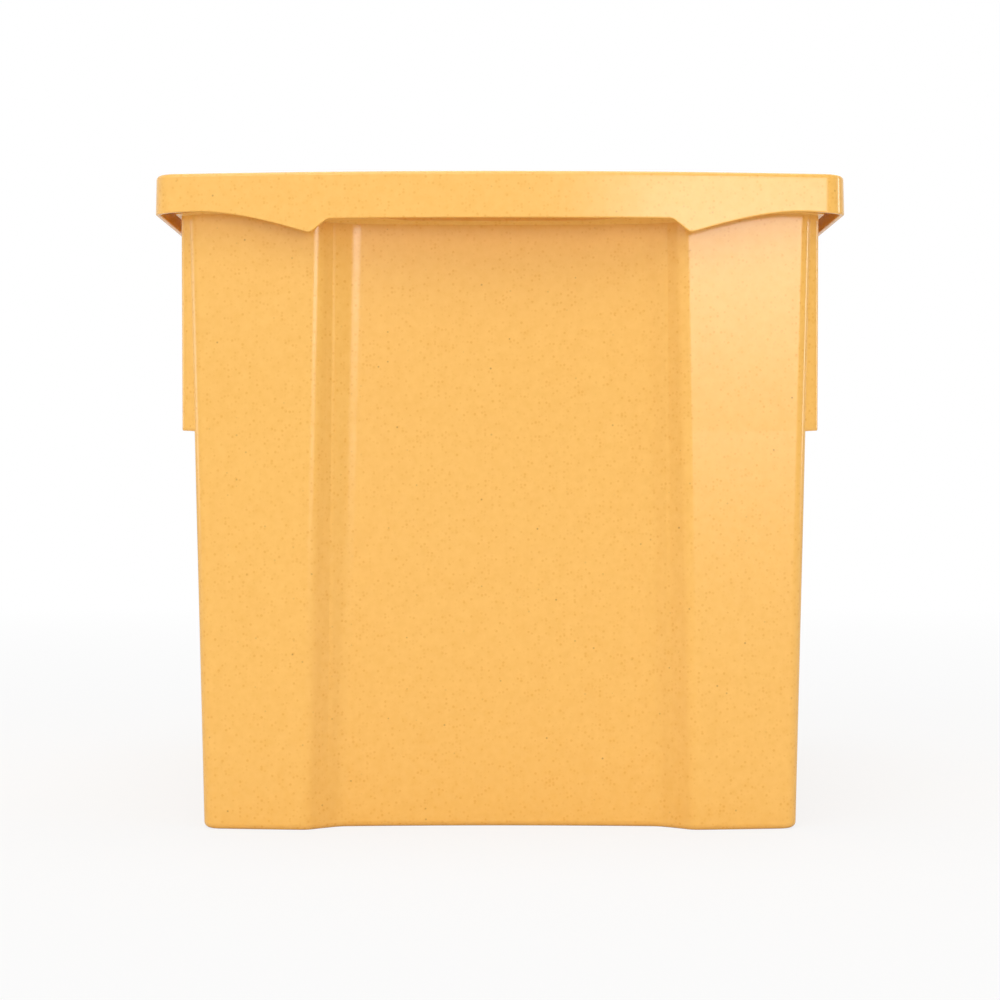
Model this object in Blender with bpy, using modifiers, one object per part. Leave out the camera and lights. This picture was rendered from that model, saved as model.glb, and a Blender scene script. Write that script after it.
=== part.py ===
# Moulded plastic box that nests when empty: a tapered tub and the lid that lifts off it.
# Metres, +Z up, origin under the middle of the base. The end seen first faces -Y.

import math

import bpy
from mathutils import Vector

# Overall sizes
OVERALL_HEIGHT = 0.301
LID_WIDTH = 0.316
LID_LENGTH = 0.430
END_BOW = 0.0114

# Lid
LID_WALL = 0.0022
LID_CORNER_RADIUS = 0.009
LID_EDGE_RADIUS = 0.003
SKIRT_DRAFT = 0.0003
SKIRT_SIDE_DEPTH = 0.0174
SKIRT_POINT_DEPTH = 0.0272
SKIRT_MIDDLE_DEPTH = 0.0211
SKIRT_POINT_PAST_RIDGE = 0.001
SKIRT_POINT_RISE_WIDTH = 0.0127
SKIRT_SHOULDER_INSET = 0.021
LID_PANEL_SINK = 0.0035
LID_PANEL_SLOPE = 0.002
LID_PANEL_SIDE_MARGIN = 0.016
LID_PANEL_NOTCH_MARGIN = 0.0056
LID_PANEL_CORNER_RADIUS = 0.012

# Tub, where a pair holds the value at the base and the value under the collar
TUB_WALL = 0.0024
TUB_TAPER = 0.0065
SIDE_OVERHANG = 0.01395
END_OVERHANG = 0.0145
TUB_CORNER_RADIUS = 0.006
BASE_EDGE_RADIUS = 0.0036
RIDGE_HALF_SPAN = (0.0899, 0.0857)
CHAMFER_WIDTH = (0.0065, 0.0044)
CHAMFER_DEPTH = (0.0056, 0.0050)
LEDGE_WIDTH = (0.0072, 0.0050)
LEDGE_DEPTH = (0.0023, 0.0021)
STEP_WIDTH = (0.0022, 0.0099)
STEP_DEPTH = (0.0042, 0.0048)
PANEL_HOLLOW = 0.0029
RIDGE_RADIUS = 0.003
CHAMFER_RADIUS = 0.002
LEDGE_RADIUS = 0.003
PANEL_EDGE_RADIUS = 0.005

# Nesting lugs
LUG_SETBACK = 0.0104
LUG_DROP = 0.117
LUG_LENGTH = 0.060
LUG_CORNER_GAP = 0.002
LUG_END_DRAFT = 0.0015
LUG_UNDERSIDE_RISE = 0.001

# Collar that the lid slips over, and the finger gap behind the skirt
COLLAR_GAP = 0.0016
SEAT_GAP = 0.0003
FLARE_FOOT_DROP = 0.0190
FLARE_RISE = 0.006
NOTCH_EDGE_MARGIN = 0.0144
NOTCH_TAPER = 0.010
NOTCH_SETBACK = 0.017

# How finely curves are stepped
CORNER_STEPS = 5
RIDGE_STEPS = 3
SMALL_STEPS = 2
BASE_STEPS = 3
FLARE_STEPS = 4
LID_EDGE_STEPS = 3
SKIRT_RISE_STEPS = 5
SKIRT_FALL_STEPS = 8
SKIRT_FLAT_STEPS = 4
# A rounded corner takes at most this share of the shorter edge beside it
CORNER_SHARE = 0.45

# Merge distance on the mirror planes
MERGE = 0.00005

# Sizes that follow from the ones above
LID_HALF_WIDTH = LID_WIDTH / 2
LID_HALF_LENGTH = LID_LENGTH / 2
FLARE_FOOT = OVERALL_HEIGHT - FLARE_FOOT_DROP
COLLAR_TOP = OVERALL_HEIGHT - LID_WALL - SEAT_GAP
COLLAR_INSET = LID_WALL + COLLAR_GAP
LUG_BASE = OVERALL_HEIGHT - LUG_DROP
SKIRT_POINT = RIDGE_HALF_SPAN[1] + SKIRT_POINT_PAST_RIDGE
PANEL_HALF_WIDTH = RIDGE_HALF_SPAN[1] - CHAMFER_WIDTH[1] - LEDGE_WIDTH[1] - STEP_WIDTH[1]
NOTCH_END = PANEL_HALF_WIDTH - NOTCH_EDGE_MARGIN
NOTCH_FLAT = NOTCH_END - NOTCH_TAPER
LID_PANEL_END_MARGIN = COLLAR_INSET + NOTCH_SETBACK + TUB_WALL + LID_PANEL_NOTCH_MARGIN


# A value part of the way from the first of a pair to the second
def between(pair, share):
    return pair[0] + (pair[1] - pair[0]) * share


# How far a point of an end lies behind the middle of that end
def end_bow(x):
    return END_BOW * (x / LID_HALF_WIDTH) ** 2


# A point in plan, from its distance behind the middle of the lid's end
def plan_point(x, depth):
    return Vector((x, depth - LID_HALF_LENGTH))


# The points of an arc of the given radius that rounds the corner between two neighbours
def rounded(before, corner, after, radius, steps):
    to_before = before - corner
    to_after = after - corner
    half_angle = to_before.angle(to_after) / 2
    reach = radius / math.tan(half_angle)
    reach = min(reach, CORNER_SHARE * min(to_before.length, to_after.length))
    towards_before = to_before.normalized()
    towards_after = to_after.normalized()
    start = corner + towards_before * reach
    end = corner + towards_after * reach
    inward = (towards_before + towards_after).normalized()
    middle = corner + inward * reach / math.cos(half_angle)
    first = start - middle
    turn = first.angle_signed(end - middle)
    points = []
    for i in range(steps + 1):
        angle = -turn * i / steps
        spun = Vector((
            first.x * math.cos(angle) - first.y * math.sin(angle),
            first.x * math.sin(angle) + first.y * math.cos(angle),
        ))
        points.append(middle + spun)
    return points


# One quarter of the tub's outside in plan, as three runs of points: the end, the corner and the side
def tub_runs(share, inset, with_lug):
    taper = TUB_TAPER * (1 - share)
    face = END_OVERHANG + taper + inset
    side = LID_HALF_WIDTH - SIDE_OVERHANG - taper - inset

    ridge_x = between(RIDGE_HALF_SPAN, share)
    ridge_depth = face + end_bow(ridge_x)
    chamfer_x = ridge_x - between(CHAMFER_WIDTH, share)
    chamfer_depth = ridge_depth + between(CHAMFER_DEPTH, share)
    ledge_x = chamfer_x - between(LEDGE_WIDTH, share)
    ledge_depth = chamfer_depth + between(LEDGE_DEPTH, share)
    panel_x = ledge_x - between(STEP_WIDTH, share)
    panel_depth = ledge_depth + between(STEP_DEPTH, share)

    panel = []
    for x in (0, NOTCH_FLAT / 2, NOTCH_FLAT, NOTCH_END):
        panel.append(plan_point(x, panel_depth + PANEL_HOLLOW * (1 - (x / panel_x) ** 2)))
    panel_edge = plan_point(panel_x, panel_depth)
    ledge = plan_point(ledge_x, ledge_depth)
    chamfer = plan_point(chamfer_x, chamfer_depth)
    ridge = plan_point(ridge_x, ridge_depth)
    corner = plan_point(side, face + end_bow(side))
    column_x = (ridge_x + side) / 2
    column = plan_point(column_x, face + end_bow(column_x))

    end_run = list(panel)
    end_run += rounded(panel[-1], panel_edge, ledge, PANEL_EDGE_RADIUS, SMALL_STEPS)
    end_run += rounded(panel_edge, ledge, chamfer, LEDGE_RADIUS, SMALL_STEPS)
    end_run += rounded(ledge, chamfer, ridge, CHAMFER_RADIUS, SMALL_STEPS)
    end_run += rounded(chamfer, ridge, column, RIDGE_RADIUS, RIDGE_STEPS)
    end_run.append(column)

    side_middle = Vector((side, 0))
    corner_run = rounded(column, corner, side_middle, TUB_CORNER_RADIUS, CORNER_STEPS)

    lug_front = corner.y + TUB_CORNER_RADIUS + LUG_CORNER_GAP
    lug_back = lug_front + LUG_LENGTH
    lug_x = LID_HALF_WIDTH - LUG_SETBACK if with_lug else side
    side_run = [
        Vector((side, lug_front)),
        Vector((lug_x, lug_front + LUG_END_DRAFT)),
        Vector((lug_x, lug_back - LUG_END_DRAFT)),
        Vector((side, lug_back)),
        side_middle,
    ]
    return end_run, corner_run, side_run


# The three runs as one outline, from the middle of the end to the middle of the side
def tub_outline(share, inset, with_lug):
    end_run, corner_run, side_run = tub_runs(share, inset, with_lug)
    return end_run + corner_run + side_run


# How far the collar stands back to leave room for fingers behind the skirt
def notch_setback(x):
    share = min(max((NOTCH_END - x) / NOTCH_TAPER, 0), 1)
    return NOTCH_SETBACK * share


# The collar in plan, with one point for each point of the tub's outline under it
def collar_outline():
    end_run, _, side_run = tub_runs(1, 0, True)
    side = LID_HALF_WIDTH - COLLAR_INSET
    corner = plan_point(side, COLLAR_INSET + end_bow(side))
    ridge_x = RIDGE_HALF_SPAN[1]
    stretch = (side - ridge_x) / (side_run[-1].x - ridge_x)
    points = []
    for point in end_run:
        x = point.x if point.x < ridge_x else ridge_x + (point.x - ridge_x) * stretch
        points.append(plan_point(x, COLLAR_INSET + end_bow(x) + notch_setback(x)))
    radius = LID_CORNER_RADIUS - COLLAR_INSET
    points += rounded(points[-1], corner, Vector((side, 0)), radius, CORNER_STEPS)
    points += [Vector((side, point.y)) for point in side_run]
    return points


# Outline and height of each section of the tub, from the base up
def tub_sections():
    sections = []
    for i in range(BASE_STEPS + 1):
        angle = math.pi / 2 * i / BASE_STEPS
        height = BASE_EDGE_RADIUS * (1 - math.cos(angle))
        inset = BASE_EDGE_RADIUS * (1 - math.sin(angle))
        sections.append((tub_outline(height / FLARE_FOOT, inset, False), height))
    sections.append((tub_outline(LUG_BASE / FLARE_FOOT, 0, False), LUG_BASE))
    lug_height = LUG_BASE + LUG_UNDERSIDE_RISE
    sections.append((tub_outline(lug_height / FLARE_FOOT, 0, True), lug_height))
    top = tub_outline(1, 0, True)
    collar = collar_outline()
    for i in range(FLARE_STEPS + 1):
        angle = math.pi / 2 * i / FLARE_STEPS
        out = 1 - math.cos(angle)
        outline = [a.lerp(b, out) for a, b in zip(top, collar)]
        sections.append((outline, FLARE_FOOT + FLARE_RISE * math.sin(angle)))
    sections.append((collar, COLLAR_TOP))
    return sections


# How far the skirt hangs below the lid's top at a distance from the middle of an end
def skirt_depth(x):
    shoulder = LID_HALF_WIDTH - SKIRT_SHOULDER_INSET
    rise_start = SKIRT_POINT - SKIRT_POINT_RISE_WIDTH
    if x <= rise_start:
        return SKIRT_MIDDLE_DEPTH
    if x <= SKIRT_POINT:
        share = (x - rise_start) / SKIRT_POINT_RISE_WIDTH
        ease = share * share * (3 - 2 * share)
        return between((SKIRT_MIDDLE_DEPTH, SKIRT_POINT_DEPTH), ease)
    if x >= shoulder:
        return SKIRT_SIDE_DEPTH
    share = (x - SKIRT_POINT) / (shoulder - SKIRT_POINT)
    ease = share * share * (3 - 2 * share) + share * (1 - share) ** 2
    return between((SKIRT_POINT_DEPTH, SKIRT_SIDE_DEPTH), ease)


# Distances from the middle of an end at which the skirt's edge is stepped
def skirt_stations(last):
    shoulder = LID_HALF_WIDTH - SKIRT_SHOULDER_INSET
    stops = (
        (0, SKIRT_POINT - SKIRT_POINT_RISE_WIDTH, SKIRT_FLAT_STEPS),
        (SKIRT_POINT - SKIRT_POINT_RISE_WIDTH, SKIRT_POINT, SKIRT_RISE_STEPS),
        (SKIRT_POINT, shoulder, SKIRT_FALL_STEPS),
    )
    stations = []
    for start, end, steps in stops:
        stations += [start + (end - start) * i / steps for i in range(steps)]
    return [x * last / shoulder for x in stations] + [last]


# One quarter of the lid in plan, moved in by its margins from the outermost edge
def lid_outline(side_margin, end_margin, radius):
    side = LID_HALF_WIDTH - side_margin
    corner = plan_point(side, end_margin + end_bow(side))
    shoulder = LID_HALF_WIDTH - SKIRT_SHOULDER_INSET
    last = min(shoulder, side - radius - LID_CORNER_RADIUS)
    points = [plan_point(x, end_margin + end_bow(x)) for x in skirt_stations(last)]
    side_middle = Vector((side, 0))
    points += rounded(points[-1], corner, side_middle, radius, CORNER_STEPS)
    points.append(side_middle)
    return points


# Outline and height of each section of the lid, from the skirt's edge up and in to the sunk panel
def lid_sections():
    edge = lid_outline(0, 0, LID_CORNER_RADIUS)
    sections = [(edge, [OVERALL_HEIGHT - skirt_depth(point.x) for point in edge])]
    for i in range(LID_EDGE_STEPS + 1):
        angle = math.pi / 2 * i / LID_EDGE_STEPS
        margin = SKIRT_DRAFT + LID_EDGE_RADIUS * (1 - math.cos(angle))
        height = OVERALL_HEIGHT - LID_EDGE_RADIUS * (1 - math.sin(angle))
        sections.append((lid_outline(margin, margin, LID_CORNER_RADIUS - margin), height))
    side_margin = LID_PANEL_SIDE_MARGIN
    end_margin = LID_PANEL_END_MARGIN
    radius = LID_PANEL_CORNER_RADIUS
    sections.append((lid_outline(side_margin, end_margin, radius), OVERALL_HEIGHT))
    slope = LID_PANEL_SLOPE
    sunk = OVERALL_HEIGHT - LID_PANEL_SINK
    sections.append((lid_outline(side_margin + slope, end_margin + slope, radius), sunk))
    return sections


# A lofted quarter shell: a skin through the sections and one flat face that closes the end given
def loft_mesh(name, sections, closed_end):
    verts = []
    for outline, height in sections:
        heights = height if isinstance(height, list) else [height] * len(outline)
        verts += [(point.x, point.y, z) for point, z in zip(outline, heights)]
    count = len(sections[0][0])
    faces = []
    for row in range(len(sections) - 1):
        for i in range(count - 1):
            a = row * count + i
            faces.append((a, a + 1, a + count + 1, a + count))
    verts.append((0, 0, sections[closed_end][1]))
    middle = len(verts) - 1
    if closed_end == 0:
        faces.append((middle, *reversed(range(count))))
    else:
        faces.append((*range(middle - count, middle), middle))
    mesh = bpy.data.meshes.new(name)
    mesh.from_pydata(verts, [], faces)
    mesh.update()
    return mesh


# The quarter shell mirrored to a whole one and given its wall, inwards
def add_shell(name, sections, closed_end, wall, material, collection):
    obj = bpy.data.objects.new(name, loft_mesh(name, sections, closed_end))
    collection.objects.link(obj)
    obj.data.materials.append(material)
    mirror = obj.modifiers.new("both_halves", "MIRROR")
    mirror.use_axis = (True, True, False)
    mirror.merge_threshold = MERGE
    solidify = obj.modifiers.new("wall", "SOLIDIFY")
    solidify.thickness = wall
    solidify.offset = -1
    solidify.use_even_offset = True
    solidify.use_quality_normals = True
    return obj


# A moulded plastic with its colour, sheen and no metal
def plastic(name, colour, roughness):
    material = bpy.data.materials.new(name)
    material.use_nodes = True
    shader = material.node_tree.nodes["Principled BSDF"]
    shader.inputs["Base Color"].default_value = (*colour, 1)
    shader.inputs["Roughness"].default_value = roughness
    shader.inputs["Metallic"].default_value = 0
    return material


def main():
    for obj in list(bpy.data.objects):
        bpy.data.objects.remove(obj)
    collection = bpy.data.collections.new("moulded_box_with_lid")
    bpy.context.scene.collection.children.link(collection)
    tub_plastic = plastic("tub_plastic", (0.93, 0.52, 0.13), 0.35)
    lid_plastic = plastic("lid_plastic", (0.93, 0.53, 0.14), 0.33)
    add_shell("tub", tub_sections(), 0, TUB_WALL, tub_plastic, collection)
    add_shell("lid", lid_sections(), -1, LID_WALL, lid_plastic, collection)


main()
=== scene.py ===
import math

import bpy
import numpy as np
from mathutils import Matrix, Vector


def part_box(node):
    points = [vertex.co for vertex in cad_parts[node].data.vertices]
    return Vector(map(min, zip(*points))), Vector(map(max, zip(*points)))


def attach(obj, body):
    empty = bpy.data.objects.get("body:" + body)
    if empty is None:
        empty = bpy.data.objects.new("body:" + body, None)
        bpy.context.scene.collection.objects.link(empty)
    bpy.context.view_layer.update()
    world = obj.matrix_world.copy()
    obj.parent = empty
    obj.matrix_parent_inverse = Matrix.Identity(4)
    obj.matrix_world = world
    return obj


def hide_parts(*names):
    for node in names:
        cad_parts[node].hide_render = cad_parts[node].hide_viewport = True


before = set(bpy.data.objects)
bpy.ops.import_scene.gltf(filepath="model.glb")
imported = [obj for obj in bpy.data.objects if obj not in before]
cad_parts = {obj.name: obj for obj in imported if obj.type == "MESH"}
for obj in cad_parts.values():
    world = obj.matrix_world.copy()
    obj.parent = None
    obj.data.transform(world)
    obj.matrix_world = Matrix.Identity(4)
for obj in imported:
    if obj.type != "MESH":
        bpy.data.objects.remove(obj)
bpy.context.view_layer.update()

# The lid covers the tub all round, so its box gives the overall sizes
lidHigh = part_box("lid")[1]
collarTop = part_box("tub")[1].z
halfWidth = lidHigh.x
halfLength = lidHigh.y
lidTop = lidHigh.z
endBow = 0.0114  # how far the corners of an end lie behind its middle
print("frame loaded, lid", round(2 * halfWidth, 4), "by", round(2 * halfLength, 4), "top", round(lidTop, 4))


# Value part of the way from the first of a pair to the second
def between(pair, share):
    return pair[0] + (pair[1] - pair[0]) * share


# Bow of an end in plan: it falls back with the square of the distance from the middle
def bowAt(x):
    return endBow * (x / halfWidth) ** 2


# Point in plan from its distance to the middle and its depth behind the foremost line of the lid
def planPoint(x, depth):
    x, depth = np.broadcast_arrays(x, depth)
    return np.stack([x, depth - halfLength], -1)


# Directions of unit length
def unit(vectors):
    return vectors / np.linalg.norm(vectors, axis=-1, keepdims=True)


# Arc that touches both legs of a corner: its spokes turn evenly from one touching point to the other.
# Each corner is an array of points, one for each row of the surface, and the arc adds the columns.
def cornerArc(before, corner, after, radius, count):
    toBefore = unit(before - corner)
    toAfter = unit(after - corner)
    halfAngle = np.arccos(np.sum(toBefore * toAfter, -1, keepdims=True)) / 2
    reach = radius / np.tan(halfAngle)
    centre = corner + unit(toBefore + toAfter) * radius / np.sin(halfAngle)
    firstSpoke = (corner + toBefore * reach - centre)[:, None]
    lastSpoke = (corner + toAfter * reach - centre)[:, None]
    sweep = (math.pi - 2 * halfAngle)[:, None]
    turn = np.linspace(0, 1, count)[None, :, None]
    spokes = (np.sin((1 - turn) * sweep) * firstSpoke + np.sin(turn * sweep) * lastSpoke) / np.sin(sweep)
    return centre[:, None] + spokes


# Section of four points with its two inner corners rounded
def roundedLine(line, radius, count):
    corners = [line[i:i + 3][:, None] for i in range(2)]
    return np.concatenate([cornerArc(*corner, radius, count)[0] for corner in corners])


# Straight columns between two points of each row, without the two points themselves
def straightRun(first, last, count):
    share = np.linspace(0, 1, count + 2)[None, 1:-1, None]
    return first[:, None] * (1 - share) + last[:, None] * share


# Closed loop from one quarter, which runs from the middle of an end to the middle of a side:
# the quarter, its mirror image in Y run backwards, and the mirror image in X of both
def wholeLoop(quarter, flipX=(-1, 1), flipY=(1, -1)):
    half = np.concatenate([quarter, quarter[:, -2::-1] * flipY], 1)
    return np.concatenate([half, half[:, -2:0:-1] * flipX], 1)


# Loop moved inwards along its normals, which are its tangents turned by a quarter
def movedIn(loop, distance):
    tangent = unit(np.roll(loop, -1, 1) - np.roll(loop, 1, 1))
    return loop - np.stack([tangent[..., 1], -tangent[..., 0]], -1) * distance


# Rows of a flat disc: the loop shrunk towards the middle in even shares
def discRows(loop, height, count):
    shares = np.linspace(0, 1, count + 1)[1:-1]
    flat = loop[None, :] * shares[:, None, None]
    return np.concatenate([flat, np.full(flat.shape[:2] + (1,), height)], -1)


# Grid of points from loops in plan and their heights
def raised(loops, heights):
    heights = np.broadcast_to(heights, loops.shape[:2])
    return np.concatenate([loops, heights[..., None]], -1)


# Closed skin over a grid whose columns run round and whose rows run from pole to pole
def skinObject(name, rows, firstPole, lastPole, material):
    rowCount, columnCount = rows.shape[:2]
    index = np.arange(rowCount * columnCount).reshape(rowCount, columnCount)
    beside = np.roll(index, -1, 1)
    quads = np.stack([index[:-1], beside[:-1], beside[1:], index[1:]], -1).reshape(-1, 4)
    poleIndex = np.full(columnCount, index.size)
    firstFan = np.stack([poleIndex, beside[0], index[0]], -1)
    lastFan = np.stack([index[-1], beside[-1], poleIndex + 1], -1)
    points = np.concatenate([rows.reshape(-1, 3), [firstPole, lastPole]])
    mesh = bpy.data.meshes.new(name)
    mesh.from_pydata(points.tolist(), [], quads.tolist() + firstFan.tolist() + lastFan.tolist())
    mesh.shade_smooth()
    mesh.materials.append(material)
    piece = bpy.data.objects.new(name, mesh)
    bpy.context.scene.collection.objects.link(piece)
    keepFlats = piece.modifiers.new("keepFlats", "WEIGHTED_NORMAL")  # large faces set the shading
    keepFlats.weight = 100
    print(name, "skin", rowCount, "rows by", columnCount, "columns")
    return piece


# Socket of a shader tree that can be used in sums: each operator adds its own Math node
class Wire:
    def __init__(self, tree, socket=None):
        self.tree = tree
        self.socket = socket

    # Any node: its settings first, then the values or links of its sockets
    def node(self, kind, settings=None, sockets=None, output=0):
        made = self.tree.nodes.new(kind)
        for name, value in (settings or {}).items():
            setattr(made, name, value)
        for name, value in (sockets or {}).items():
            if isinstance(value, Wire):
                self.tree.links.new(value.socket, made.inputs[name])
            else:
                made.inputs[name].default_value = value
        return Wire(self.tree, made.outputs[output])

    def math(self, operation, first, second, clamp=False):
        settings = {"operation": operation, "use_clamp": clamp}
        return self.node("ShaderNodeMath", settings, {0: first, 1: second})

    def __add__(self, other):
        return self.math("ADD", self, other)

    def __radd__(self, other):
        return self.math("ADD", other, self)

    def __sub__(self, other):
        return self.math("SUBTRACT", self, other)

    def __rsub__(self, other):
        return self.math("SUBTRACT", other, self)

    def __mul__(self, other):
        return self.math("MULTIPLY", self, other)

    def __rmul__(self, other):
        return self.math("MULTIPLY", other, self)

    def __truediv__(self, other):
        return self.math("DIVIDE", self, other)

    # The value kept between 0 and 1
    def held(self):
        return self.math("ADD", self, 0.0, clamp=True)

    # The larger of two values
    def atLeast(self, other):
        return self.math("MAXIMUM", self, other)

    # Colour mixed from this one to another by a factor
    def tinted(self, factor, colour):
        settings = {"data_type": "RGBA"}
        return self.node("ShaderNodeMix", settings, {0: factor, 6: self, 7: colour}, 2)


speckledPlastic = {
    "honey": (0.950, 0.539, 0.131, 1),
    "deepHoney": (0.870, 0.456, 0.089, 1),
    "speck": (0.68, 0.24, 0.005, 1),
    "dot": (0.27, 0.06, 0.002, 1),
    "mottleScale": 260,
    "speckScale": 600,
    "speckRadius": 0.48,
    "speckStrength": 0.36,
    "dotScale": 230,
    "dotRadius": 0.14,
    "dotShare": 0.5,
    "dotStrength": 0.55,
    "roughness": 0.17,
    "roughnessSpread": 0.03,
    "grainScale": 900,
    "grainBump": 0.00001,
    "noiseDetail": 2.0,
}


# Moulded plastic with ground filler in it. A speck is a soft ball round a scattered point, and the cube of
# the point's own random value makes a few dark and most faint. A dot is a darker ball round some of the
# sparser points, and the fourth power makes most of those faint too.
def makePlastic(name, look):
    material = bpy.data.materials.new(name)
    material.use_nodes = True
    tree = material.node_tree
    shader = tree.nodes["Principled BSDF"]
    start = Wire(tree)
    place = start.node("ShaderNodeTexCoord", output="Object")

    def scatter(scale, output):
        return start.node("ShaderNodeTexVoronoi", {}, {"Vector": place, "Scale": scale}, output)

    def randomOf(scale):
        return start.node("ShaderNodeSeparateColor", {}, {"Color": scatter(scale, "Color")})

    def balls(scale, radius):
        return ((radius - scatter(scale, "Distance")) / (radius / 2)).held()

    def noise(scale):
        sockets = {"Vector": place, "Scale": scale, "Detail": look["noiseDetail"]}
        return start.node("ShaderNodeTexNoise", {}, sockets)

    mottle = noise(look["mottleScale"])
    chance = randomOf(look["speckScale"])
    specks = balls(look["speckScale"], look["speckRadius"]) * chance * chance * chance
    chosen = ((look["dotShare"] - randomOf(look["dotScale"])) / look["dotShare"]).held()
    dots = balls(look["dotScale"], look["dotRadius"]) * chosen * chosen * chosen * chosen

    shades = {0: mottle, 6: look["honey"], 7: look["deepHoney"]}
    honey = start.node("ShaderNodeMix", {"data_type": "RGBA"}, shades, 2)
    speckled = honey.tinted(specks * look["speckStrength"], look["speck"])
    colour = speckled.tinted(dots * look["dotStrength"], look["dot"])
    tree.links.new(colour.socket, shader.inputs["Base Color"])

    roughness = look["roughness"] + (mottle - 0.5) * look["roughnessSpread"]
    tree.links.new(roughness.socket, shader.inputs["Roughness"])
    grain = noise(look["grainScale"])
    sockets = {"Height": grain, "Distance": look["grainBump"], "Strength": 1.0}
    bump = start.node("ShaderNodeBump", {}, sockets)
    tree.links.new(bump.socket, shader.inputs["Normal"])
    return material


tubPlastic = makePlastic("tubPlastic", speckledPlastic)
lidPlastic = makePlastic("lidPlastic", speckledPlastic)
print("plastics made")


# The tub, in metres. A pair holds the value at the base and the value under the rim.
tub = {
    "wall": 0.0024,
    "taper": 0.0065,
    "kneeSetback": 0.00086,  # the end faces are hollowed by this at the level of the lugs
    "sideOverhang": 0.01395,
    "endOverhang": 0.0145,
    "cornerRadius": 0.006,
    "baseRadius": 0.0030,
    "wallTopDrop": 0.0190,
    "ridgeHalfSpan": (0.0894, 0.0831),
    "chamferWidth": (0.0050, 0.0044),
    "chamferDepth": (0.0040, 0.0038),
    "slopeWidth": (0.0040, 0.0018),
    "slopeDepth": (0.0030, 0.0014),
    "ledgeWidth": (0.0020, 0.0012),
    "ledgeDepth": (0.0014, 0.00044),
    "stepWidth": (0.0040, 0.0090),
    "panelDepth": (0.0113, 0.0096),
    "panelHollow": 0.0029,
    "ridgeRadius": (0.0078, 0.0092),
    "chamferRadius": (0.0120, 0.0020),
    "slopeRadius": (0.0050, 0.0015),
    "ledgeRadius": (0.0050, 0.0026),
    "panelEdgeRadius": (0.0125, 0.0180),
    "panelAim": 0.95,  # share of the panel, and distance along the column, that aim the legs of the arcs
    "columnAim": 0.006,
}
wallTop = lidTop - tub["wallTopDrop"]

# Columns of one quarter of the tub, from the middle of an end to the middle of a side
columns = {"panel": 28, "panelArc": 12, "ledgeArc": 7, "slopeArc": 6, "chamferArc": 6, "ridgeArc": 11,
           "column": 18, "turnArc": 30}
endColumns = sum(columns.values()) - columns["turnArc"]
sideRest = 8  # columns between the lug and the middle of a side

# Rows of the tub, part by part
tubRows = {"round": 8, "lugFoot": 5, "lower": 11, "nose": 7, "upper": 9, "lip": 12, "flare": 9,
           "upperInside": 7, "lowerInside": 10, "disc": 4}

# The nesting lugs on the long sides
lug = {
    "setback": 0.0104,
    "drop": 0.1166,
    "noseFoot": 0.0034,  # where its rounded nose leaves the corner, behind the corner's front
    "noseLength": 0.0036,
    "nosePower": 2.0,
    "noseRounding": 0.0018,
    "pocketFront": 0.0104,
    "back": 0.068,
    "draft": 0.0015,
    "rise": 0.0003,
    "rounding": 0.0004,
    "tilt": 0.04,  # the underside climbs towards the back
    "tiltReach": 0.05,  # the rows above and below follow the climb within this height
    "noseColumns": (0.0002, 0.0005, 0.001, 0.002),
    "bendSpread": 0.0003,  # distance of the columns on both sides of a bend
    "columnsBetween": 9,
}
lugBase = lidTop - lug["drop"]
lugX = halfWidth - lug["setback"]

# The rim: a crease, a short band that leans out to a lip, a riser, and the collar that the lid slips over
rim = {
    "columnCreaseDrop": 0.0169,
    "recessCreaseDrop": 0.0209,
    "creaseTurn": (0.0890, 0.0080),  # where the crease starts to drop, and over which width
    "bandSlope": 0.5,
    "columnRun": 0.0020,
    "recessRun": 0.0042,
    "notchRun": 0.0015,
    "sideLip": 0.0078,
    "riserDrop": 0.0085,
    "collarInset": 0.0038,
    "collarCornerRadius": 0.0072,
    "lipRadius": 0.0012,
    "notchHalfSpan": 0.0520,
    "notchTaper": 0.010,
    "notchSetback": 0.017,
    "support": 0.00012,  # distance of the rows that keep a crease crisp
    "creaseMargin": 0.0006,  # the wall's last row lies this far under the crease
    "cornerRun": 0.0006,  # how much further the band may lean out round a corner
    "sideLeanRun": 0.0012,  # along the sides the band climbs only over this much of its run
    "bandShares": (0.06, 0.5, 0.94),
    "riserEdge": ((0.0, 0.0004), (0.0001, 0.0001)),  # out from the band and down from the shelf
    "shelfShares": (0.06, 5),  # first share of the shelf, and its rows
    "endSpread": 0.985,  # share of the collar's straight end that takes the end's columns
    "innerFootRise": 0.001,
    "innerFlareDrop": 0.004,
}


# Half width of the tub's sides at a height: it grows in a straight line from the base to the rim
def tubSide(height):
    return halfWidth - tub["sideOverhang"] - tub["taper"] * (1 - height / wallTop)


# Depth of the tub's end faces: a straight taper, set back a little more towards the level of the lugs
def tubFace(height):
    kneeShare = np.minimum(height / lugBase, (wallTop - height) / (wallTop - lugBase))
    return tub["endOverhang"] + tub["taper"] * (1 - height / wallTop) + tub["kneeSetback"] * kneeShare


# Ramp that starts and ends level: three times the square less twice the cube of the share
def eased(share):
    share = np.clip(share, 0, 1)
    return share * share * (3 - 2 * share)


# Columns along a side, as distances behind the end of the corner: the nose, then three for each bend of the
# lug and of its pocket, with some between them
def sideColumns():
    offset = tub["cornerRadius"]
    pocketBack = lug["back"] - tub["wall"]
    ends = np.array([lug["pocketFront"], pocketBack, lug["back"]])
    bends = np.concatenate([ends, ends + lug["draft"] * np.array([1, -1, -1])]) - offset
    around = (bends[:, None] + lug["bendSpread"] * np.array([-1, 0, 1])).ravel()
    middle = np.linspace(bends.min(), bends.max(), lug["columnsBetween"])[1:-2]
    return np.sort(np.concatenate([lug["noseColumns"], around, middle]))


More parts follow.
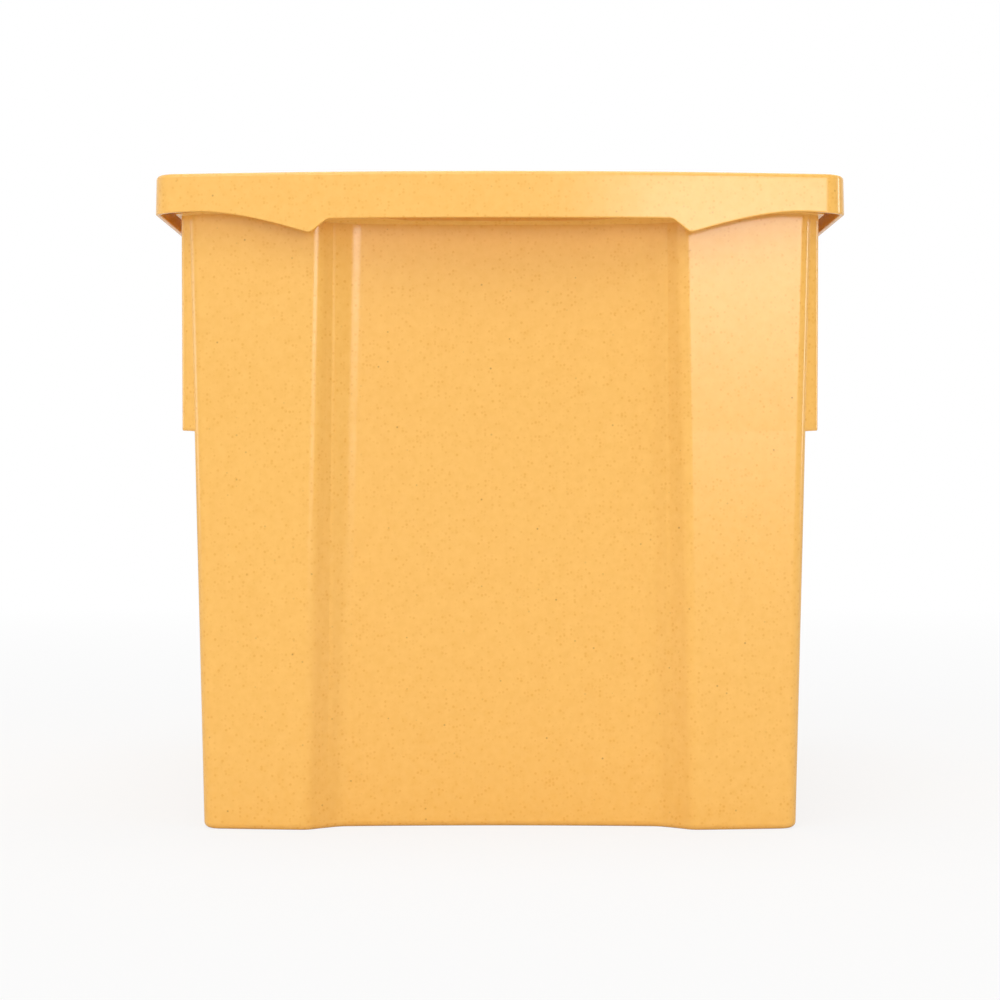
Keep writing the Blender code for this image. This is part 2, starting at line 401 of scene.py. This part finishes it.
# One quarter of the tub without its lug, at an array of heights: the sunk panel, the step, the ledge, the
# slope, the chamfer and the ridge, each corner an arc, then the bowed column, the corner and the side
def tubQuarter(height, inset):
    share = height / wallTop
    face = tubFace(height) + inset
    side = tubSide(height) - inset
    ridgeX = between(tub["ridgeHalfSpan"], share)
    ridgeDepth = face + bowAt(ridgeX)
    chamferX = ridgeX - between(tub["chamferWidth"], share)
    chamferDepth = ridgeDepth + between(tub["chamferDepth"], share)
    slopeX = chamferX - between(tub["slopeWidth"], share)
    slopeDepth = chamferDepth + between(tub["slopeDepth"], share)
    ledgeX = slopeX - between(tub["ledgeWidth"], share)
    ledgeDepth = slopeDepth + between(tub["ledgeDepth"], 1 - (1 - share) ** 2)
    panelX = ledgeX - between(tub["stepWidth"], share)
    panelDepth = ridgeDepth + between(tub["panelDepth"], share)

    def panelPoint(part):
        return planPoint(panelX * part, panelDepth + tub["panelHollow"] * (1 - part**2))

    def columnPoint(x):
        return planPoint(x, face + bowAt(x))

    def arc(name, before, corner, after):
        radius = between(tub[name + "Radius"], share)[:, None]
        return cornerArc(before, corner, after, radius, columns[name.replace("Edge", "") + "Arc"])

    panelEdge = panelPoint(1.0)
    ledge = planPoint(ledgeX, ledgeDepth)
    slope = planPoint(slopeX, slopeDepth)
    chamfer = planPoint(chamferX, chamferDepth)
    ridge = columnPoint(ridgeX)
    corner = columnPoint(side)
    sideMiddle = np.stack([side, np.zeros_like(side)], -1)
    panelArc = arc("panelEdge", panelPoint(tub["panelAim"]), panelEdge, ledge)
    ledgeArc = arc("ledge", panelEdge, ledge, slope)
    slopeArc = arc("slope", ledge, slope, chamfer)
    chamferArc = arc("chamfer", slope, chamfer, ridge)
    ridgeArc = arc("ridge", chamfer, ridge, columnPoint(ridgeX + tub["columnAim"]))
    beforeCorner = columnPoint(side - tub["columnAim"])
    turnArc = cornerArc(beforeCorner, corner, sideMiddle, tub["cornerRadius"], columns["turnArc"])

    parts = np.linspace(0, 1, columns["panel"] + 1)[None, :-1] * (panelArc[:, :1, 0] / panelX[:, None])
    panel = planPoint(panelX[:, None] * parts, panelDepth[:, None] + tub["panelHollow"] * (1 - parts**2))
    shares = np.linspace(0, 1, columns["column"] + 2)[None, 1:-1]
    columnX = ridgeArc[:, -1:, 0] * (1 - shares) + turnArc[:, :1, 0] * shares
    column = planPoint(columnX, face[:, None] + bowAt(columnX))
    sideY = turnArc[:, -1:, 1] + sideColumns()[None]
    sideRun = np.stack([np.broadcast_to(side[:, None], sideY.shape), sideY], -1)
    rest = straightRun(sideRun[:, -1], sideMiddle, sideRest)
    recess = [panel, panelArc, ledgeArc, slopeArc, chamferArc, ridgeArc]
    return np.concatenate(recess + [column, turnArc, sideRun, rest, sideMiddle[:, None]], 1)


# Distance of each column of the quarter behind the front of its corner
def behindCorner(quarter):
    arcEnd = quarter[:, endColumns + columns["turnArc"] - 1, 1]
    return quarter[..., 1] - (arcEnd - tub["cornerRadius"])[:, None]


# The lug's face in plan: from the corner a power curve swells to the full width, and the back has a draft
def lugFace(depth, side, shift):
    radius, foot = tub["cornerRadius"], lug["noseFoot"]
    footX = side - radius + math.sqrt(radius**2 - (radius - foot) ** 2)
    share = np.clip((depth - foot - shift) / lug["noseLength"], 0, 1)
    nose = footX + (lugX - footX) * (1 - (1 - share) ** lug["nosePower"])
    backShare = np.clip((lug["back"] - depth) / lug["draft"], 0, 1)
    return np.where(depth > foot, np.minimum(nose, side + (lugX - side) * backShare), 0)


# One quarter of the tub's outside: the columns behind the nose's foot are pushed out to the lug's face
def outerQuarter(height, inset, lugOut, noseShift):
    quarter = tubQuarter(height, inset)
    depth = behindCorner(quarter)
    side = (tubSide(height) - inset)[:, None]
    push = np.maximum(lugFace(depth, side, noseShift[:, None]) - quarter[..., 0], 0) * lugOut[:, None]
    push[:, :endColumns] = 0
    quarter[..., 0] += push
    return quarter


# Whole loops of the tub's inside: the outside without lugs moved in by the wall, then the lug's pocket
def innerLoops(height, inset, lugOut):
    wall = tub["wall"]
    quarter = tubQuarter(height, 0 * height)
    depth = behindCorner(quarter)
    front = (depth - lug["pocketFront"]) / lug["draft"]
    back = (lug["back"] - wall - depth) / lug["draft"]
    pocket = np.clip(np.minimum(front, back), 0, 1)
    pocket[:, :endColumns + columns["turnArc"]] = 0
    push = pocket * (lugOut * (lugX - tubSide(height)))[:, None]
    loops = movedIn(wholeLoop(quarter), (wall + inset)[:, None, None])
    loops[..., 0] += wholeLoop(push[..., None], flipX=(-1,), flipY=(1,))[..., 0]
    return loops


# One quarter of the collar, a column for each column of the tub: the lid's bowed end moved in, and stood
# back with a smooth ramp where fingers reach behind the skirt
def collarQuarter(inset):
    top = tubQuarter(np.array([wallTop]), np.zeros(1))[0]
    side = halfWidth - rim["collarInset"] - inset
    ridgeX = tub["ridgeHalfSpan"][1]
    endX = np.broadcast_to(top[:endColumns, 0], (len(inset), endColumns))
    stretch = (side - rim["collarCornerRadius"] - ridgeX) / (endX[0, -1] - ridgeX)
    x = np.where(endX < ridgeX, endX, ridgeX + (endX - ridgeX) * stretch[:, None] * rim["endSpread"])
    notch = rim["notchSetback"] * eased((rim["notchHalfSpan"] - x) / rim["notchTaper"])
    end = planPoint(x, rim["collarInset"] + inset[:, None] + bowAt(x) + notch)
    corner = planPoint(side, rim["collarInset"] + inset + bowAt(side))
    sideMiddle = np.stack([side, np.zeros_like(side)], -1)
    radius = (rim["collarCornerRadius"] - inset)[:, None]
    turn = cornerArc(end[:, -1], corner, sideMiddle, radius, columns["turnArc"])
    sideY = top[endColumns + columns["turnArc"]:, 1]
    sideY = np.broadcast_to(np.maximum(sideY, turn[:, -1:, 1]), (len(inset), len(sideY)))
    sideRun = np.stack([np.broadcast_to(side[:, None], sideY.shape), sideY], -1)
    return np.concatenate([end, turn, sideRun], 1)


# Height of the crease under the rim: level on the columns and sides, and lowered by a smooth ramp in the
# recess
def creaseHeight(quarter):
    start, width = rim["creaseTurn"]
    drop = (rim["recessCreaseDrop"] - rim["columnCreaseDrop"]) * eased((start - quarter[:, 0]) / width)
    return lidTop - rim["columnCreaseDrop"] - drop


# How far the band under the rim leans out: more in the recess, less again behind the finger gap, and to one
# straight line along the sides
def bandRun(quarter):
    start, width = rim["creaseTurn"]
    x = quarter[:, 0]
    run = rim["columnRun"] + (rim["recessRun"] - rim["columnRun"]) * eased((start - x) / width)
    run = run - rim["notchRun"] * eased((rim["notchHalfSpan"] - x) / rim["notchTaper"])
    run[endColumns:] = np.maximum(run[endColumns:], halfWidth - rim["sideLip"] - x[endColumns:])
    corner = np.arange(endColumns, endColumns + columns["turnArc"])
    run[corner] = np.minimum(run[corner], rim["columnRun"] + rim["cornerRun"])
    return run


# Rows of the rim's outside, from just under the crease to the collar's lip
def rimRows(quarter):
    crease = creaseHeight(quarter)
    run = bandRun(quarter)
    collar = collarQuarter(np.array([rim["lipRadius"]]))[0]
    way = np.linalg.norm(collar - quarter, axis=-1)
    support = rim["support"]
    sideRun = np.minimum(run, rim["sideLeanRun"])
    lean = rim["bandSlope"] * np.where(np.arange(len(run)) < endColumns, run, sideRun)
    riser = lidTop - rim["riserDrop"] + 0 * run
    first, count = rim["shelfShares"]

    # Distance out from the wall and height of each row
    rows = [(0 * run, crease - support), (0 * run, crease)]
    rows += [(run * share, crease + lean * share) for share in rim["bandShares"]]
    rows += [(run, crease + lean), (run, crease + lean + support)]
    rows += [(run + out, riser - down) for out, down in rim["riserEdge"]]
    rows += [(run + (way - run) * share, riser) for share in np.linspace(first, 1, count)]
    outs = np.array([out for out, height in rows])
    heights = np.array([height for out, height in rows])
    loops = quarter[None] + (collar - quarter)[None] * (outs / way)[..., None]
    return loops, heights


# Whole grid from a quarter's points in plan and their heights
def wholeGrid(quarter, heights):
    heights = np.broadcast_to(heights, quarter.shape[:2])[..., None]
    return raised(wholeLoop(quarter), wholeLoop(heights, flipX=(1,), flipY=(1,))[..., 0])


# The tub as one closed skin: out over the base, up the wall and under the lug, out to the rim's lip, up the
# collar, over its round top and down the inside to the floor
def makeTub():
    wall = tub["wall"]
    quarterTurn = np.linspace(0, math.pi / 2, tubRows["round"])
    depth = lugX - tubSide(lugBase)
    foot = np.array([[0, lugBase - 1], [0, lugBase], [depth, lugBase + lug["rise"]], [depth, lugBase + 1]])
    underside = roundedLine(foot, lug["rounding"], tubRows["lugFoot"])

    # Outside up to the crease: heights, how far the lug stands out and how far its nose is rounded back
    baseHeights = tub["baseRadius"] * (1 - np.cos(quarterTurn))
    baseInsets = tub["baseRadius"] * (1 - np.sin(quarterTurn))
    lower = np.linspace(baseHeights[-1], underside[0, 1], tubRows["lower"])[1:-1]
    nose = np.linspace(underside[-1, 1], lugBase + lug["noseRounding"], tubRows["nose"])[1:]
    upper = np.linspace(nose[-1], wallTop, tubRows["upper"])[1:]
    heights = np.concatenate([baseHeights, lower, underside[:, 1], nose, upper])
    insets = np.concatenate([baseInsets, np.zeros(len(heights) - len(baseInsets))])
    lugShare = underside[:, 0] / depth
    lugOut = np.concatenate([0 * baseHeights, 0 * lower, lugShare, 0 * nose + 1, 0 * upper + 1])
    rounding = lug["noseRounding"]
    above = np.clip(1 - (heights - lugBase) / rounding, 0, 1)
    quarter = outerQuarter(heights, insets, lugOut, rounding * (1 - np.sqrt(1 - above**2)))
    top = quarter[-1]
    stretch = np.clip((heights - nose[-1]) / (wallTop - nose[-1]), 0, 1)[:, None]
    behind = np.clip(behindCorner(quarter) - tub["cornerRadius"], 0, lug["back"])
    near = np.clip(1 - np.abs(heights - lugBase) / lug["tiltReach"], 0, 1)[:, None]
    toCrease = creaseHeight(top) - rim["creaseMargin"] - wallTop
    outside = wholeGrid(quarter, heights[:, None] + stretch * toCrease + lug["tilt"] * near * behind)
    base = discRows(outside[0, :, :2], 0.0, tubRows["disc"])
    flare = wholeGrid(*rimRows(top))

    # The collar, with its lip below and its round top
    lip = rim["lipRadius"]
    riser = lidTop - rim["riserDrop"]
    lipHeights = riser + lip * (1 - np.cos(quarterTurn[1:]))
    rimTurn = np.linspace(0, math.pi, tubRows["lip"])
    rimHeights = collarTop - wall / 2 + wall / 2 * np.sin(rimTurn)
    collarHeights = np.concatenate([lipHeights, rimHeights])
    collarInsets = np.concatenate([lip * (1 - np.sin(quarterTurn[1:])), wall / 2 * (1 - np.cos(rimTurn))])
    collar = wholeGrid(collarQuarter(collarInsets), collarHeights[:, None])

    # Inside: the flare from the collar down to the wall, the wall with the lug's pocket, and the floor
    atTop = np.array([wallTop])
    innerFoot = riser + wall + rim["innerFootRise"]
    innerStart = riser - rim["innerFlareDrop"]
    flareTurn = np.linspace(0, math.pi / 2, tubRows["flare"])
    out = (1 - np.cos(flareTurn))[:, None, None]
    innerTop = innerLoops(atTop, 0 * atTop, atTop / wallTop)
    innerCollar = wholeLoop(collarQuarter(np.array([wall])))
    innerFlare = raised(
        between((innerTop, innerCollar), out),
        (innerStart + (innerFoot - innerStart) * np.sin(flareTurn))[:, None],
    )[::-1]
    innerRadius = tub["baseRadius"] - wall
    pocket = underside[::-1, 1] + wall
    upperIn = np.linspace(wallTop, pocket[0], tubRows["upperInside"])[1:-1]
    floorHeights = wall + innerRadius * (1 - np.cos(quarterTurn[::-1]))
    lowerIn = np.linspace(pocket[-1], floorHeights[0], tubRows["lowerInside"])[1:-1]
    heightsIn = np.concatenate([upperIn, pocket, lowerIn, floorHeights])
    floorInsets = innerRadius * (1 - np.sin(quarterTurn[::-1]))
    insetsIn = np.concatenate([np.zeros(len(heightsIn) - len(floorInsets)), floorInsets])
    lugIn = np.concatenate([0 * upperIn + 1, lugShare[::-1], 0 * lowerIn, 0 * floorHeights])
    inside = raised(innerLoops(heightsIn, insetsIn, lugIn), heightsIn[:, None])
    floorRows = discRows(inside[-1, :, :2], wall, tubRows["disc"])[::-1]

    rows = np.concatenate([base, outside, flare, collar, innerFlare, inside, floorRows])
    return skinObject("moulded_tub", rows, (0, 0, 0), (0, 0, wall), tubPlastic)


tubPiece = makeTub()
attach(tubPiece, "tub")
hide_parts("tub")


# The lid, in metres
lid = {
    "wall": 0.0022,
    "cornerRadius": 0.011,
    "edgeRadius": 0.002,
    "innerEdgeRadius": 0.001,
    "skirtDraft": 0.0003,
    "skirtRounding": 0.0006,
    "sideDepth": 0.01745,
    "middleDepth": 0.0212,
    "pointDepth": 0.0279,
    "pointX": 0.0861,
    "cornerDrop": 0.0006,
    "shoulderX": 0.1362,
    "riseSlope": 0.835,
    "fallPower": 1.58,
    "tipSoftness": 0.0013,
    "riseSoftness": 0.0008,
    "panelSink": 0.0035,
    "panelSlope": 0.002,
    "panelRounding": 0.0012,
    "panelSideMargin": 0.016,
    "panelEndMargin": 0.0288,
    "panelCornerRadius": 0.012,
}

# Columns of one quarter of the lid, and the rows of its parts
lidColumns = {"end": 200, "corner": 16, "side": 22}
lidRows = {"round": 7, "skirt": 12, "band": 4, "panelEdge": 6, "disc": 7}


# Lower of two curves, with the crossing rounded over a width
def softLower(first, second, width):
    return (first + second - np.sqrt((first - second) ** 2 + width**2)) / 2


# How far the skirt hangs below the top: level in the middle, a straight dip to a rounded point, then a rise
# that slows down towards the shoulder, and a slight drop again at the corner
def skirtDepth(x):
    toShoulder = np.maximum((lid["shoulderX"] - x) / (lid["shoulderX"] - lid["pointX"]), 0)
    fall = lid["sideDepth"] + (lid["pointDepth"] - lid["sideDepth"]) * toShoulder ** lid["fallPower"]
    rise = lid["pointDepth"] - lid["riseSlope"] * (lid["pointX"] - x)
    dip = softLower(fall, rise, lid["tipSoftness"])
    levelled = -softLower(-dip, -lid["middleDepth"], lid["riseSoftness"])
    cornerShare = (x - lid["shoulderX"]) / (halfWidth - lid["shoulderX"])
    return np.where(x < lid["pointX"], levelled, dip) + lid["cornerDrop"] * eased(cornerShare)


# Whole loops of the lid in plan: the bowed end, a round corner and the straight side, moved in by margins
def lidLoops(sideMargin, endMargin, radius):
    side = halfWidth - sideMargin
    corner = planPoint(side, endMargin + bowAt(side))
    before = planPoint(side - radius, endMargin + bowAt(side - radius))
    sideMiddle = np.stack([side, np.zeros_like(side)], -1)
    turn = cornerArc(before, corner, sideMiddle, radius[:, None], lidColumns["corner"])
    x = np.linspace(0, 1, lidColumns["end"] + 1)[None, :-1] * turn[:, :1, 0]
    end = planPoint(x, endMargin[:, None] + bowAt(x))
    straight = straightRun(turn[:, -1], sideMiddle, lidColumns["side"])
    return wholeLoop(np.concatenate([end, turn, straight, sideMiddle[:, None]], 1))


# Rounded edge of the sunk panel in section: margin past the panel's outline, and drop below the lid's top
def panelEdgeProfile():
    slope, sink = lid["panelSlope"], lid["panelSink"]
    line = np.array([[-1, 0], [0, 0], [slope, sink], [1, sink]])
    return roundedLine(line, lid["panelRounding"], lidRows["panelEdge"])


# The lid as one closed skin: out under the top, down inside the skirt, round its edge, up its face, over the
# round top edge and in to the sunk panel
def makeLid():
    wall, draft, edge, small = lid["wall"], lid["skirtDraft"], lid["edgeRadius"], lid["skirtRounding"]
    quarterTurn = np.linspace(0, math.pi / 2, lidRows["round"])
    across, along, level = np.cos(quarterTurn), np.sin(quarterTurn), 0 * quarterTurn
    panelEdge = panelEdgeProfile()
    sideOut, endOut, radiusOut = lid["panelSideMargin"], lid["panelEndMargin"], lid["panelCornerRadius"]

    # Outer skirt, from its edge up, then the round edge: margin, height over the top and share of the hang
    up = np.linspace(0, 1, lidRows["skirt"])
    face = np.stack([draft * up, (1 - up) * small - up * edge, 1 - up], -1)
    lowerOut = np.stack([small * (1 - along), small * (1 - across), 1 + level], -1)
    over = np.stack([draft + edge * (1 - across), edge * (along - 1), level], -1)
    outer = np.concatenate([lowerOut[:-1], face[:-1], over])

    # Inner skirt, from the round corner under the top down to its edge
    innerEdge = lid["innerEdgeRadius"]
    underTurn = np.stack([innerEdge * (1 - along), innerEdge * (across - 1), level], -1)
    underTurn += np.array([wall + draft, -wall, 0])
    down = np.linspace(1, 0, lidRows["skirt"])
    innerFace = np.stack([wall + draft * down, (1 - down) * small - down * (wall + innerEdge), 1 - down], -1)
    lowerIn = np.stack([wall - small * (1 - across), small * (1 - along), 1 + level], -1)
    inner = np.concatenate([underTurn[:-1], innerFace[:-1], lowerIn])

    skirt = np.concatenate([inner, outer])
    radii = lid["cornerRadius"] - skirt[:, 0]
    skirtLoops = lidLoops(skirt[:, 0], skirt[:, 0], radii)
    outline = lidLoops(np.zeros(1), np.zeros(1), np.array([lid["cornerRadius"]]))[0]
    hang = skirtDepth(np.abs(outline[:, 0]))
    skirtRows = raised(skirtLoops, lidTop + skirt[:, 1:2] - skirt[:, 2:3] * hang[None])

    # Level band between the round edge and the panel, then the panel's edge
    def bandLoops(margin, shares):
        sides = between((margin, sideOut + panelEdge[0, 0]), shares)
        ends = between((margin, endOut + panelEdge[0, 0]), shares)
        return lidLoops(sides, ends, between((lid["cornerRadius"] - margin, radiusOut), shares))

    shares = np.linspace(0, 1, lidRows["band"] + 2)[1:-1]
    band = raised(bandLoops(outer[-1, 0], shares), lidTop)
    margin, drop = panelEdge[:, 0], panelEdge[:, 1]
    sunkLoops = lidLoops(sideOut + margin, endOut + margin, radiusOut + 0 * margin)
    sunk = raised(sunkLoops, (lidTop - drop)[:, None])
    bandUnder = raised(bandLoops(inner[0, 0], shares), lidTop - wall)[::-1]
    sunkUnder = sunk[::-1] - np.array([0, 0, wall])
    panelLevel = lidTop - lid["panelSink"]
    disc = discRows(sunk[-1, :, :2], panelLevel, lidRows["disc"])[::-1]
    discUnder = disc[::-1] - np.array([0, 0, wall])

    rows = np.concatenate([discUnder, sunkUnder, bandUnder, skirtRows, band, sunk, disc])
    return skinObject("lift_off_lid", rows, (0, 0, panelLevel - wall), (0, 0, panelLevel), lidPlastic)


lidPiece = makeLid()
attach(lidPiece, "lid")
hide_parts("lid")


studio = {
    "floorSize": 60.0,
    "floorSeen": 0.80,  # the floor's albedo for the camera, and for the light that it returns
    "floorBounce": 0.78,
    "floorWhite": 0.80,
    "floorFade": (0.5, 2.0),  # where the floor starts to fade to plain white, and where it is white
    "roomLight": 0.62,
    "tiny": 1e-6,  # keeps a division from meeting nought straight up and down
    # Dark flags beside the camera: cosines of the level angle where each starts, is full, fades and ends
    "leftFlag": (0.574, 0.469, 0.174, -0.087),
    "rightFlag": (0.906, 0.857, -0.34, -0.57),
    "flagDark": (0.25, 0.75),  # left and right
    "neverMirrored": ("frontFill",),  # only brightens
    "onlyMirrored": ("rightSoftbox",),  # only makes highlights
    "softboxes": {
        # name: centre, aim, width, height and radiance
        "rightFrontSoftbox": ((1.09, -3.1, 0.62), (0.1, -0.2, 0.25), 1.08, 0.70, 3.2),
        "rightFrontSpill": ((1.12, -3.3, 0.62), (0.1, -0.2, 0.25), 1.5, 1.16, 1.9),
        "highFrontSoftbox": ((-0.6, -2.3, 2.3), (0.0, 0.0, 0.15), 2.2, 1.6, 1.56),
        "rightSoftbox": ((2.4, 0.0, 0.62), (0.0, 0.0, 0.15), 0.4, 1.1, 6.5),
        "leftSoftbox": ((-2.6, 0.0, 0.24), (0.0, 0.0, 0.15), 1.0, 0.40, 2.4),
        "frontFill": ((-1.86, -3.99, 0.75), (0.0, 0.0, 0.75), 5.0, 1.4, 1.13),
        "backSoftbox": ((0.3, 3.4, 1.6), (0.0, 0.0, 0.15), 2.2, 1.6, 1.6),
        "topSoftbox": ((0.0, -0.1, 2.8), (0.0, 0.0, 0.3), 1.6, 1.6, 2.34),
    },
}


# One kind of ray from the Light Path node, as 0 or 1
def rayKind(start, kind):
    return start.node("ShaderNodeLightPath", output="Is " + kind + " Ray")


# Light Path's share of rays that see the white background: camera, glossy and transmission rays
def seenDirectly(start):
    return rayKind(start, "Camera").atLeast(rayKind(start, "Glossy")).atLeast(rayKind(start, "Transmission"))


# Room: plain white where it is seen, and a softer level where it only lights. Glossy rays meet dark flags to
# the left and right of the camera: the cosine of the level angle, ramped up and down again.
def makeRoom():
    world = bpy.data.worlds.new("room")
    bpy.context.scene.world = world
    world.use_nodes = True
    start = Wire(world.node_tree)
    direction = start.node("ShaderNodeTexCoord", output="Generated")
    across = start.node("ShaderNodeSeparateXYZ", {}, {0: direction}, "X")
    along = start.node("ShaderNodeSeparateXYZ", {}, {0: direction}, "Y")
    length = start.math("POWER", across * across + along * along + studio["tiny"], 0.5)
    cosine = (0 - along) / length

    def flag(span):
        rise, full, fall, end = span
        return ((rise - cosine) / (rise - full)).held() * ((cosine - end) / (fall - end)).held()

    onRight = start.math("GREATER_THAN", across, 0.0)
    leftDark, rightDark = studio["flagDark"]
    darkRight = flag(studio["rightFlag"]) * onRight * rightDark
    darkLeft = flag(studio["leftFlag"]) * (1 - onRight) * leftDark
    seenLevel = 1 - (darkRight + darkLeft) * rayKind(start, "Glossy")
    level = studio["roomLight"] + (seenLevel - studio["roomLight"]) * seenDirectly(start)
    background = world.node_tree.nodes["Background"]
    background.inputs["Color"].default_value = (1, 1, 1, 1)
    world.node_tree.links.new(level.socket, background.inputs["Strength"])


# Floor: pale and diffuse for the light that it returns, and mostly white where it is seen
def makeFloor():
    half = studio["floorSize"] / 2
    corners = np.array([[-half, -half, 0], [half, -half, 0], [half, half, 0], [-half, half, 0]])
    mesh = bpy.data.meshes.new("floor")
    mesh.from_pydata(corners.tolist(), [], [(0, 1, 2, 3)])
    material = bpy.data.materials.new("paleFloor")
    material.use_nodes = True
    tree = material.node_tree
    start = Wire(tree)
    camera = rayKind(start, "Camera")
    albedo = studio["floorBounce"] + (studio["floorSeen"] - studio["floorBounce"]) * camera
    matt = start.node("ShaderNodeBsdfDiffuse", {}, {"Color": albedo})
    white = start.node("ShaderNodeEmission", {}, {"Color": (1, 1, 1, 1), "Strength": 1.0})
    near, far = studio["floorFade"]
    place = start.node("ShaderNodeTexCoord", output="Object")
    distance = start.node("ShaderNodeVectorMath", {"operation": "LENGTH"}, {0: place}, "Value")
    away = ((distance - near) / (far - near)).held()
    factor = camera * (studio["floorWhite"] + (1 - studio["floorWhite"]) * away)
    mixed = start.node("ShaderNodeMixShader", {}, {0: factor, 1: matt, 2: white})
    tree.links.new(mixed.socket, tree.nodes["Material Output"].inputs["Surface"])
    mesh.materials.append(material)
    floor = bpy.data.objects.new("floor", mesh)
    bpy.context.scene.collection.objects.link(floor)


# Softbox: a flat light turned to its aim, with the power that gives its radiance
def makeSoftbox(name, centre, aim, width, height, radiance):
    data = bpy.data.lights.new(name, "AREA")
    data.shape = "RECTANGLE"
    data.size = width
    data.size_y = height
    data.energy = radiance * math.pi * width * height
    softbox = bpy.data.objects.new(name, data)
    bpy.context.scene.collection.objects.link(softbox)
    softbox.location = centre
    direction = softbox.location.copy()
    direction.xyz = [a - c for a, c in zip(aim, centre)]
    softbox.rotation_euler = direction.to_track_quat("-Z", "Y").to_euler()
    softbox.visible_glossy = name not in studio["neverMirrored"]
    softbox.visible_diffuse = name not in studio["onlyMirrored"]


makeRoom()
makeFloor()
for softboxName, softboxValues in studio["softboxes"].items():
    makeSoftbox(softboxName, *softboxValues)
print("studio made")


# Camera at the photograph's distance, level and square to the end
view = {"distance": 1.0, "height": 0.1525, "lens": 80.0, "sensor": 36.0}
cameraData = bpy.data.cameras.new("camera")
cameraData.lens = view["lens"]
cameraData.sensor_width = view["sensor"]
camera = bpy.data.objects.new("camera", cameraData)
camera.location = (0, -halfLength - view["distance"], view["height"])
camera.rotation_euler = (math.pi / 2, 0, 0)
bpy.context.scene.collection.objects.link(camera)
bpy.context.scene.camera = camera
bpy.context.scene.view_settings.view_transform = "Standard"
print("camera placed")
